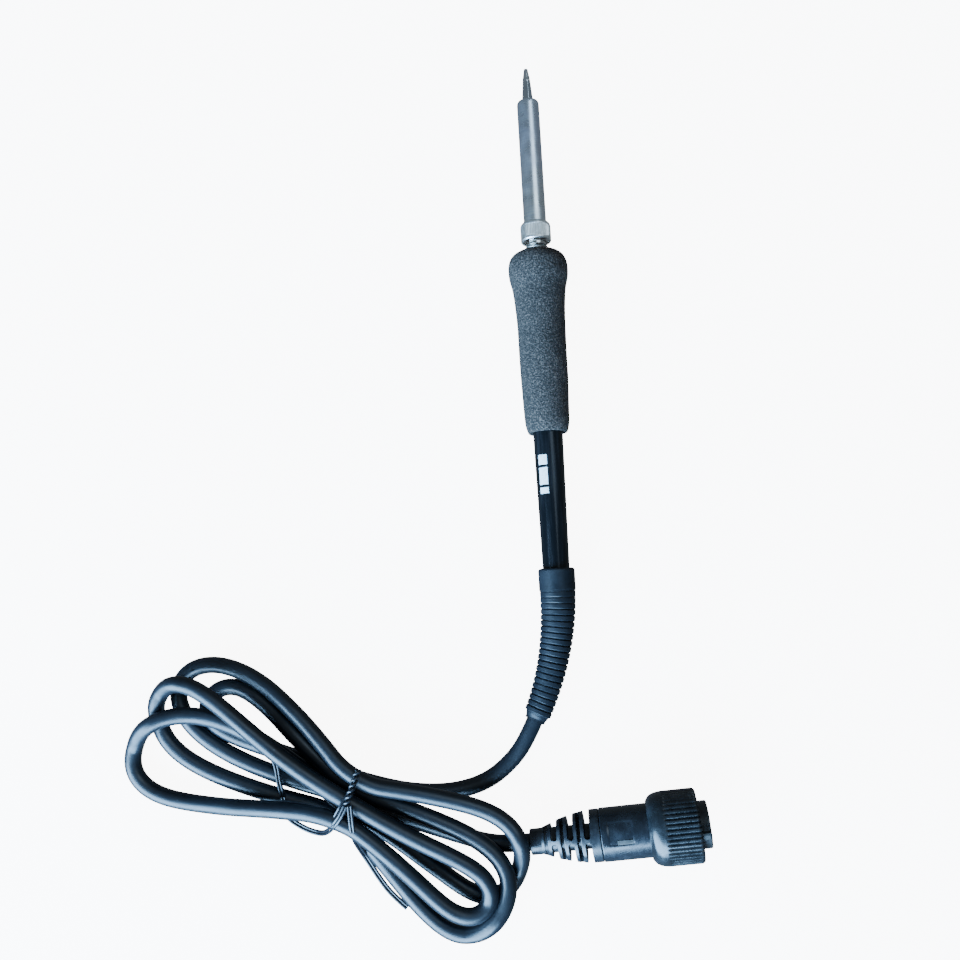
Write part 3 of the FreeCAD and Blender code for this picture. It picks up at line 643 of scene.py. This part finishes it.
def make_nut():
    """A short nut, rounded at the front, with a fine straight knurl round its waist."""
    outline = divided(rounded([
        (61.6, 4.28), (61.6, 4.75, 0.3), (62.3, 5.45, 0.5), (63.0, 5.65, 0.4), (68.6, 5.65, 0.3),
        (69.0, 5.25, 0.2), (69.0, 4.95), (62.8, 4.95), (62.8, 4.28),
    ]), 0.35)

    def knurled(station, radius, angle):
        if radius < 5.3:
            return radius
        band = plateau(KNURL_FRONT, KNURL_REAR, KNURL_EDGE, station)
        tooth = abs(math.sin(KNURL_TEETH / 2 * angle))
        return radius - KNURL_DEPTH * band * (1 - tooth)

    nut = lathe("iron_nut", IRON, outline, KNURL_TEETH * 8, knurled, closed=True, crease=50.0)
    settle(nut, nut_metal(), "nut", "nut_metal", "barrel_nut")


def make_nipple():
    """The bush behind the nut: a thread's plain outside, a narrow neck and a flange."""
    outline = rounded([
        (64.0, 2.2), (64.0, 4.9, 0.3), (68.4, 4.9, 0.2), (68.9, 3.8, 0.2), (70.5, 3.8, 0.5),
        (73.0, 5.15, 0.15), (73.2, 5.55), (75.0, 5.55), (75.0, 4.6), (83.0, 4.6), (83.0, 3.4),
        (77.0, 3.4), (77.0, 2.2),
    ])
    nipple = lathe("iron_nipple", IRON, outline, 128, closed=True)
    settle(nipple, nipple_nickel(), "root", "nipple_nickel", "nipple")


GRIP_END = 141.2
HANDLE_END = 190.1
HANDLE_GRIP_RADIUS = 5.4
HANDLE_END_RADIUS = 4.8


def make_handle():
    """The tube under the grip, and its bare rear that tapers to the strain relief."""
    outline = rounded([
        (75.0, 4.65), (75.0, 5.6, 0.2), (128.0, 5.6), (GRIP_END, HANDLE_GRIP_RADIUS),
        (HANDLE_END, HANDLE_END_RADIUS), (HANDLE_END, 3.5), (138.0, 3.5), (128.0, 4.65),
    ])
    handle = lathe("iron_handle", IRON, divided(outline, 4.0), 128, closed=True)
    settle(handle, handle_plastic(), "root", "handle_plastic", "handle")


def make_grip():
    """The foam sleeve: a mushroom front, a long waist and a rounded tail."""
    outline = divided(rounded([
        (73.9, 5.65), (72.9, 5.9, 0.3), (72.9, 6.7, 0.5), (74.5, 9.7, 1.5), (77.4, 11.0, 1.8),
        (80.6, 11.1, 1.6), (83.2, 10.85, 2.0), (87.5, 9.75, 3.5), (98.0, 8.9, 6.0), (121.0, 8.7),
        (137.8, 8.1, 2.2), (GRIP_END, 7.2, 1.2), (GRIP_END, 6.3, 0.4), (140.6, 5.65),
    ], 10), 0.55)

    def cellular(station, radius, angle):
        """Hand wear: shallow, slow dents under the fingers."""
        if radius < 6.0:
            return radius
        return radius + 0.05 * math.sin(3 * angle + 0.11 * station) * math.sin(0.21 * station)

    grip = lathe("iron_grip", IRON, outline, 220, cellular)
    settle(grip, foam(), "root", "grip_foam", "foam_grip")


MARK_BARS = [(149.6, 153.2), (154.2, 160.4), (161.4, 163.6)]
MARK_HALF_WIDTH = 1.75
MARK_TURN = 0.60
INK_LIFT = 0.012


def wrapped_patch(mesh, start, stop, first, last, radius_at, steps=8):
    """A thin patch on a round piece, between two stations and two angles."""
    rows = []
    for station in (start, stop):
        radius = radius_at(station)
        angles = [first + (last - first) * k / steps for k in range(steps + 1)]
        rows.append([mesh.verts.new((radius * math.sin(a), station, radius * math.cos(a)))
                     for a in angles])
    for k in range(steps):
        mesh.faces.new((rows[0][k], rows[0][k + 1], rows[1][k + 1], rows[1][k]))


def make_mark():
    """A plain printed mark of three short bars along the handle."""

    def skin(station):
        share = (station - GRIP_END) / (HANDLE_END - GRIP_END)
        return HANDLE_GRIP_RADIUS - (HANDLE_GRIP_RADIUS - HANDLE_END_RADIUS) * share + INK_LIFT

    mesh = bmesh.new()
    for start, stop in MARK_BARS:
        half = MARK_HALF_WIDTH / skin(start)
        wrapped_patch(mesh, start, stop, MARK_TURN - half, MARK_TURN + half, skin)
    mark = finish_mesh("handle_mark", mesh, IRON)
    settle(mark, ink(), "root", "handle_plastic")


for make in (make_tip, make_barrel, make_nut, make_nipple, make_handle, make_grip, make_mark):
    make()

# ---------------------------------------------------------------- strain relief

RELIEF_FRONT = HANDLE_END
RELIEF_BEND_START = 197.9
RELIEF_LENGTH = 46.5
RELIEF_TURN = math.radians(27.0)
RIB_START = 0.45
RIB_PITCH = 2.08
RIB_COUNT = 21
RIB_GROOVE = 0.62
RELIEF_STEP = 0.11
RELIEF_MOUTH = 4.7
COLLAR_RADIUS = 6.55
COLLAR_ROUND = 1.0
TAPER_FRONT_RADIUS = 6.42
TAPER_REAR_RADIUS = 4.55
LIP_FRONT_RADIUS = 4.1
LIP_REAR_RADIUS = 3.6
GRIP_ON_CORD = 0.1


def relief_radius(station):
    """The relief's skin: a plain collar, then flat ribs on the taper, the first few cut shallower."""
    along = station - RELIEF_BEND_START
    if along < 0:
        ease = min(1.0, (station - RELIEF_FRONT) / COLLAR_ROUND)
        return COLLAR_RADIUS - COLLAR_ROUND * (1 - math.sqrt(max(0.0, 1 - (1 - ease) ** 2)))
    narrowing = smooth_step(-6.0, RELIEF_LENGTH + 10.0, along)
    taper = TAPER_FRONT_RADIUS - (TAPER_FRONT_RADIUS - TAPER_REAR_RADIUS) * narrowing
    phase = (along - RIB_START) / RIB_PITCH
    if phase < 0:
        return taper
    if phase > RIB_COUNT:
        closing = smooth_step(RIB_COUNT, RIB_COUNT + 0.9, phase)
        return LIP_FRONT_RADIUS - (LIP_FRONT_RADIUS - LIP_REAR_RADIUS) * closing
    depth = RIB_GROOVE * (0.35 + 0.65 * smooth_step(1.5, 4.5, phase))
    rib = min(1.0, abs(math.sin(math.pi * phase)) ** 0.7 * 1.5)
    return taper - depth * (1 - rib)


def relief_spot(station):
    """The relief's centre line: straight through the collar, then an even bend."""
    along = max(0.0, station - RELIEF_BEND_START)
    bend = RELIEF_LENGTH / RELIEF_TURN
    angle = along / bend
    start = min(station, RELIEF_BEND_START)
    point = Vector((bend * (1 - math.cos(angle)), start + bend * math.sin(angle), 0))
    return point, Vector((math.sin(angle), math.cos(angle), 0))


def make_relief():
    """The whole strain relief as one skin, from its mouth on the handle to the cord."""
    rings = [(Vector((0, RELIEF_FRONT, 0)), Vector((0, 1, 0)), RELIEF_MOUTH)]
    count = round((RELIEF_BEND_START + RELIEF_LENGTH - RELIEF_FRONT) / RELIEF_STEP)
    for i in range(count + 1):
        station = RELIEF_FRONT + RELIEF_STEP * i
        point, heading = relief_spot(station)
        rings.append((point, heading, relief_radius(station)))
    point, heading = relief_spot(RELIEF_BEND_START + RELIEF_LENGTH)
    rings.append((point, heading, CORD_DIAMETER / 2 - GRIP_ON_CORD))
    relief = swept("strain_relief_boot", rings, IRON)
    return settle(relief, relief_rubber(), "root", "relief_rubber", "strain_relief")


relief = make_relief()

# ---------------------------------------------------------------- connector

SLOT_FIRST = 5.55
SLOT_PITCH = 2.85
SLOT_COUNT = 6
SLOT_FLOOR = 4.15
GROOVE_HALF = 0.62
WINDOW_HALF = 1.0
WEB_HALF = 0.55
BELL_NECK_END = 4.0
BELL_CONE_END = 10.0
BELL_SWELL_END = 20.7
BELL_NECK_RADIUS = 4.3
BELL_CONE_RADIUS = 6.5
BELL_REAR_RADIUS = 8.6


def bell_radius(station):
    """The boot's outside without its slots: a straight neck, a cone and a gentle swell."""
    if station < BELL_NECK_END:
        return BELL_NECK_RADIUS
    if station < BELL_CONE_END:
        share = (station - BELL_NECK_END) / (BELL_CONE_END - BELL_NECK_END)
        return BELL_NECK_RADIUS + (BELL_CONE_RADIUS - BELL_NECK_RADIUS) * share
    share = min(1.0, (station - BELL_CONE_END) / (BELL_SWELL_END - BELL_CONE_END))
    swell = share * (1 - share)
    return BELL_CONE_RADIUS + (BELL_REAR_RADIUS - BELL_CONE_RADIUS) * share + swell


def boot_shape(station, radius, angle):
    """Slots that alternate: grooves over the top and bottom, then round-ended windows in the sides."""
    if radius < SLOT_FLOOR:
        return radius
    index = round((station - SLOT_FIRST) / SLOT_PITCH)
    if not 0 <= index < SLOT_COUNT:
        return radius
    window = index % 2 == 1
    off = abs(station - SLOT_FIRST - index * SLOT_PITCH)
    reach = radius * abs(math.sin(angle) if window else math.cos(angle)) - WEB_HALF
    half = WINDOW_HALF if window else GROOVE_HALF
    if reach <= 0:
        return radius
    if reach < half:
        half *= math.sqrt(1 - (1 - reach / half) ** 2)
    open_share = 1 - smooth_step(half - 0.12, half + 0.04, off)
    return radius - (radius - SLOT_FLOOR) * open_share


def make_boot():
    """The slotted bell, with a point every tenth of a millimetre so that the slots come out crisp."""
    skin = [Vector((tenth / 10, bell_radius(tenth / 10))) for tenth in range(2, 240)]
    front = [Vector((0.0, 2.8)), Vector((0.0, 4.0))]
    rear = [Vector((24.1, 8.45)), Vector((24.2, 7.4))]
    outline = front + skin + rear
    boot = lathe("connector_boot", PLUG, outline, 360, boot_shape, crease=50.0)
    return settle(boot, boot_rubber(), "root", "plug_boot_rubber", "plug_boot")


PANEL_FRONT = 26.6
PANEL_REAR = 35.1
PANEL_ALONG_EDGE = 0.3
PANEL_FIRST_ANGLE = -0.62
PANEL_LAST_ANGLE = 0.27
PANEL_AROUND_EDGE = 0.03
PANEL_DEPTH = 0.13


def make_shell():
    """The connector's smooth body, with a shallow panel pressed into its top."""
    outline = divided(rounded([
        (24.25, 7.5), (24.25, 8.75, 0.35), (25.2, 8.75, 0.2), (41.6, 8.75), (41.6, 7.5),
    ]), 0.3)

    def panelled(station, radius, angle):
        if radius < 8.3:
            return radius
        turn = (angle + math.pi) % math.tau - math.pi
        along = plateau(PANEL_FRONT, PANEL_REAR, PANEL_ALONG_EDGE, station)
        around = plateau(PANEL_FIRST_ANGLE, PANEL_LAST_ANGLE, PANEL_AROUND_EDGE, turn)
        return radius - PANEL_DEPTH * along * around

    shell = lathe("connector_shell", PLUG, outline, 240, panelled, closed=True)
    return settle(shell, moulded("plug_plastic", (0.008, 0.010, 0.013), 0.16, 0.34, PLUG), "root",
                  "plug_plastic", "plug_shell")


FLUTES = 46
FLUTE_DEPTH = 0.55


def make_ring():
    """The coupling ring: a smooth dome behind, deep flutes to its front edge."""
    outline = divided(rounded([
        (40.2, 8.83), (40.2, 9.3, 0.3), (41.3, 10.9, 0.8), (43.2, 11.8, 1.2), (45.6, 12.1, 0.8),
        (56.4, 12.1, 0.3), (57.2, 11.5, 0.3), (57.2, 10.7), (42.0, 10.7), (42.0, 8.83),
    ]), 0.3)

    def fluted(station, radius, angle):
        if radius < 11.3:
            return radius
        band = smooth_step(45.4, 46.6, station)
        groove = math.cos(FLUTES / 2 * angle) ** 6
        return radius - FLUTE_DEPTH * band * groove

    ring = lathe("connector_ring", PLUG, outline, FLUTES * 14, fluted, closed=True, crease=50.0)
    return settle(ring, moulded("ring_plastic", (0.008, 0.010, 0.012), 0.18, 0.36, PLUG), "ring",
                  "ring_plastic", "coupling_ring")


KEYWAY_HALF = 1.22
KEYWAY_EDGE = 0.1
KEYWAY_START = 48.3
KEYWAY_RUN_IN = 0.2
KEYWAY_DEPTH = 0.7


def make_nose():
    """The mating sleeve, with its keyway along the top and the flange that holds the ring."""
    outline = divided(rounded([
        (41.6, 6.5), (41.6, 7.7), (42.2, 7.7), (42.2, 10.4), (43.7, 10.4), (43.7, 7.7),
        (60.1, 7.7, 0.25), (60.4, 7.4, 0.15), (60.4, 6.5),
    ]), 0.3)

    def keyed(station, radius, angle):
        if not 6.9 < radius < 8.0:
            return radius
        if math.cos(angle) <= 0:
            return radius
        across = abs(radius * math.sin(angle))
        cut = 1 - smooth_step(KEYWAY_HALF, KEYWAY_HALF + KEYWAY_EDGE, across)
        cut *= smooth_step(KEYWAY_START, KEYWAY_START + KEYWAY_RUN_IN, station)
        return radius - KEYWAY_DEPTH * cut

    nose = lathe("connector_nose", PLUG, outline, 480, keyed, closed=True)
    return settle(nose, moulded("nose_plastic", (0.010, 0.011, 0.012), 0.22, 0.42, PLUG), "root",
                  "nose_plastic", "plug_nose")


# Where the painted highlight lies: a pale patch on the shell that stands for a reflection, not a part of
# it.
HIGHLIGHT_FRONT = 29.5
HIGHLIGHT_REAR = 34.6
HIGHLIGHT_FIRST_ANGLE = 0.09
HIGHLIGHT_LAST_ANGLE = 0.25
HIGHLIGHT_RADIUS = 8.77


def make_shell_painted_highlight():
    """A painted highlight: a small pale rectangle just below the shell's top line, standing for a
    reflection on the gloss plastic.
    """
    mesh = bmesh.new()
    wrapped_patch(mesh, HIGHLIGHT_FRONT, HIGHLIGHT_REAR, HIGHLIGHT_FIRST_ANGLE, HIGHLIGHT_LAST_ANGLE, lambda station: HIGHLIGHT_RADIUS)
    highlight_patch = finish_mesh("shell_painted_highlight", mesh, PLUG)
    # Its pale colour is the painted highlight.
    return settle(highlight_patch, moulded("shell_highlight_paint", (0.035, 0.038, 0.038), 0.3, 0.5, PLUG), "root",
                  "plug_plastic")


boot = make_boot()
shell = make_shell()
shell_painted_highlight = make_shell_painted_highlight()
ring = make_ring()
nose = make_nose()

# ---------------------------------------------------------------- twist tie

WIRE_RADIUS = 0.5
WIRE_GAP = 1.0

# The loose ends of the tie, from the knot: the left one hooks down past the hank and comes up among
# the loops, the right one runs down beside the outermost strand. Most of their places are spots on
# the photograph that a program turned into millimetres. Those nearest the knot, the knot's own ends
# and the heights were set one by one.
LEFT_TAIL = [
    (-76.0, -171.0, 18.2), (-77.5, -174.0, 17.6), (-80.0, -177.0, 16.2), (-82.8, -179.8, 12.0),
    (-85.8, -181.2, 7.0), (-90.5, -180.5, 4.0), (-95.0, -178.5, 2.2), (-98.5, -176.0, 1.6),
    (-99.0, -171.5, 3.4), (-99.0, -167.5, 7.2), (-100.0, -163.5, 7.6), (-100.5, -158.0, 8.2),
    (-102.0, -154.5, 9.2), (-105.0, -151.5, 9.6), (-108.5, -149.0, 9.0), (-112.0, -146.5, 8.0),
]
RIGHT_TAIL = [
    (-74.5, -171.0, 18.2), (-74.2, -175.0, 17.8), (-74.2, -179.0, 16.6), (-73.8, -183.0, 12.4),
    (-72.7, -187.0, 7.0), (-71.0, -191.0, 3.2), (-67.0, -198.0, 1.8), (-63.0, -203.5, 1.4),
    (-58.0, -208.0, 1.2),
]
KNOT_START = (-71.3, -159.5)
KNOT_END = (-75.7, -170.6)
KNOT_TURNS = 3.0
KNOT_RADIUS = 0.72
KNOT_HEIGHT = 17.7
KNOT_CROWN = 0.9
BAND_HALF_WIDTH = 9.3
BAND_HALF_HEIGHT = 8.1
BAND_MIDDLE = 8.9
BAND_WANDER = 0.3
BAND_STEPS = 24
KNOT_STEPS = 40


def neck_spot(along, across, height):
    """A point at the hank's neck: along the bundle, across it, and up."""
    across_way = Vector(NECK_ACROSS)
    along_way = Vector((-across_way.y, across_way.x))
    flat = Vector(NECK) + along_way * along + across_way * across
    return (flat.x, flat.y, height)


def knot_spot(share, phase):
    """A point on one wire of the twisted pair that lies along the top of the neck."""
    start, stop = Vector(KNOT_START), Vector(KNOT_END)
    along = (stop - start).normalized()
    angle = phase + math.tau * KNOT_TURNS * share
    flat = start.lerp(stop, share) + Vector((-along.y, along.x)) * KNOT_RADIUS * math.cos(angle)
    middle = KNOT_HEIGHT + KNOT_CROWN * math.sin(math.pi * share)
    return (flat.x, flat.y, middle + KNOT_RADIUS * math.sin(angle))


def beside(route, shift):
    """A route set off sideways by a shift, level."""
    points = []
    for i, spot in enumerate(route):
        before, after = Vector(route[max(0, i - 1)]), Vector(route[min(len(route) - 1, i + 1)])
        heading = (after - before).to_2d().normalized()
        points.append((spot[0] - heading.y * shift, spot[1] + heading.x * shift, spot[2]))
    return points


def band_spot(turn, shift):
    """A point on one wire of the band, its turn counted from under the neck."""
    angle = math.tau * turn
    along = shift + BAND_WANDER * math.sin(2 * angle)
    height = BAND_MIDDLE - BAND_HALF_HEIGHT * math.cos(angle)
    return neck_spot(along, BAND_HALF_WIDTH * math.sin(angle), height)


def tie_routes():
    """One turn of doubled wire round the neck, its twisted ends on top, and two doubled tails."""
    routes = []
    for side in (-1, 1):
        shift = side * WIRE_GAP / 2
        routes.append([band_spot(k / BAND_STEPS, shift) for k in range(BAND_STEPS + 1)])
    for phase in (0.0, math.pi):
        routes.append([knot_spot(k / KNOT_STEPS, phase) for k in range(KNOT_STEPS + 1)])
    for tail in (LEFT_TAIL, RIGHT_TAIL):
        for side in (-1, 1):
            routes.append(beside(tail, side * WIRE_GAP / 2))
    return routes


def make_tie():
    """Every wire of the tie as one curve with a spline for each."""
    data = bpy.data.curves.new("wire_tie", "CURVE")
    data.dimensions = "3D"
    data.resolution_u = 4
    data.bevel_depth = WIRE_RADIUS * MM
    data.bevel_resolution = 4
    data.use_fill_caps = True
    for route in tie_routes():
        spline = data.splines.new("NURBS")
        spline.points.add(len(route) - 1)
        for point, spot in zip(spline.points, route):
            point.co = (*mm(*spot), 1)
        spline.order_u = 3
        spline.use_endpoint_u = True
    tie = bpy.data.objects.new("wire_tie", data)
    bpy.context.scene.collection.objects.link(tie)
    return settle(tie, pvc("tie_plastic", (0.012, 0.014, 0.018)), "root", "tie_plastic", "twist_tie")


tie = make_tie()

# ---------------------------------------------------------------- CAD nodes that show as they are

INSULATION = insulation()
BRASS = plain_metal("contact_brass", (0.72, 0.55, 0.25), 0.2, 0.4)
CERAMIC = ceramic()
CARRIED = {
    "heating_element": CERAMIC,
    "element_collar": CERAMIC,
    "earth_spring": plain_metal("spring_steel", (0.6, 0.6, 0.6), 0.2, 0.35),
    "terminal_board": laminate(),
    "heater_leads": plain_metal("lead_wire", (0.66, 0.62, 0.56), 0.25, 0.45),
    "sensor_leads": plain_metal("sensor_wire", (0.66, 0.62, 0.56), 0.25, 0.45),
    "cord_conductors": INSULATION,
    "plug_wires": INSULATION,
    "cord_jacket_end": cord.data.materials[0],
    "cord_clamp": moulded("clamp_plastic", (0.03, 0.03, 0.03), 0.35, 0.5, IRON),
    "plug_insert": moulded("insert_plastic", (0.05, 0.06, 0.055), 0.35, 0.55, PLUG),
    "plug_contacts": BRASS,
}
for node, material in CARRIED.items():
    dress(frame["nodes"][node], material)

# ---------------------------------------------------------------- floor, lights


FLOOR_HALF_SIDE = 3000.0
FLOOR_GLOW = 9.0
WALL_RADIUS = 2800.0
WALL_HEIGHT = 6000.0
WALL_MIDDLE = 2900.0


def make_floor():
    """A pale table that glows for the camera alone, so that it looks white and lights nothing."""
    mesh = bmesh.new()
    bmesh.ops.create_grid(mesh, x_segments=1, y_segments=1, size=FLOOR_HALF_SIDE)
    floor = finish_mesh("floor", mesh, Matrix.Identity(4))
    made = Finish("floor_white", (0.35, 0.35, 0.35), 0.9)
    made.colour(made.ramp(made.noise(0.05, 2.0), (0.3, 0.34), (0.7, 0.36)))
    made.shader.inputs["Emission Color"].default_value = (1, 1, 1, 1)
    made.shader.inputs["Emission Strength"].default_value = FLOOR_GLOW
    dress(floor, made.material)
    floor.visible_diffuse = False
    floor.visible_glossy = False


def make_backdrop():
    """A pale round wall near the floor's edge, open at both ends, that casts no light or shadow."""
    mesh = bmesh.new()
    bmesh.ops.create_cone(mesh, segments=96, radius1=WALL_RADIUS, radius2=WALL_RADIUS, depth=WALL_HEIGHT)
    wall = finish_mesh("backdrop", mesh, Matrix.Translation(mm(0, 0, WALL_MIDDLE)))
    dress(wall, bpy.data.materials["floor_white"])
    wall.visible_diffuse = False
    wall.visible_glossy = False
    wall.visible_shadow = False


def area_light(name, place, target, size, power, colour):
    """A rectangular light that faces a target."""
    data = bpy.data.lights.new(name, "AREA")
    data.shape = "RECTANGLE"
    data.size, data.size_y = size
    data.energy = power
    data.color = colour
    light = bpy.data.objects.new(name, data)
    light.location = place
    light.rotation_euler = (Vector(target) - Vector(place)).to_track_quat("-Z", "Y").to_euler()
    bpy.context.scene.collection.objects.link(light)


def make_lights():
    """A cool window low on the left and front, and a weak, cool fill from above."""
    middle = (-0.04, -0.08, 0.0)
    area_light("window", (-0.55, -0.75, 0.36), middle, (1.3, 0.70), 120.0, (0.35, 0.64, 1.0))
    area_light("fill", (0.55, 0.45, 1.4), middle, (0.9, 0.9), 7.0, (0.62, 0.82, 1.0))
    world = bpy.data.worlds.new("room")
    world.use_nodes = True
    background = world.node_tree.nodes["Background"]
    background.inputs["Color"].default_value = (0.72, 0.87, 1.0, 1)
    background.inputs["Strength"].default_value = 0.20
    bpy.context.scene.world = world


make_floor()
make_backdrop()
make_lights()
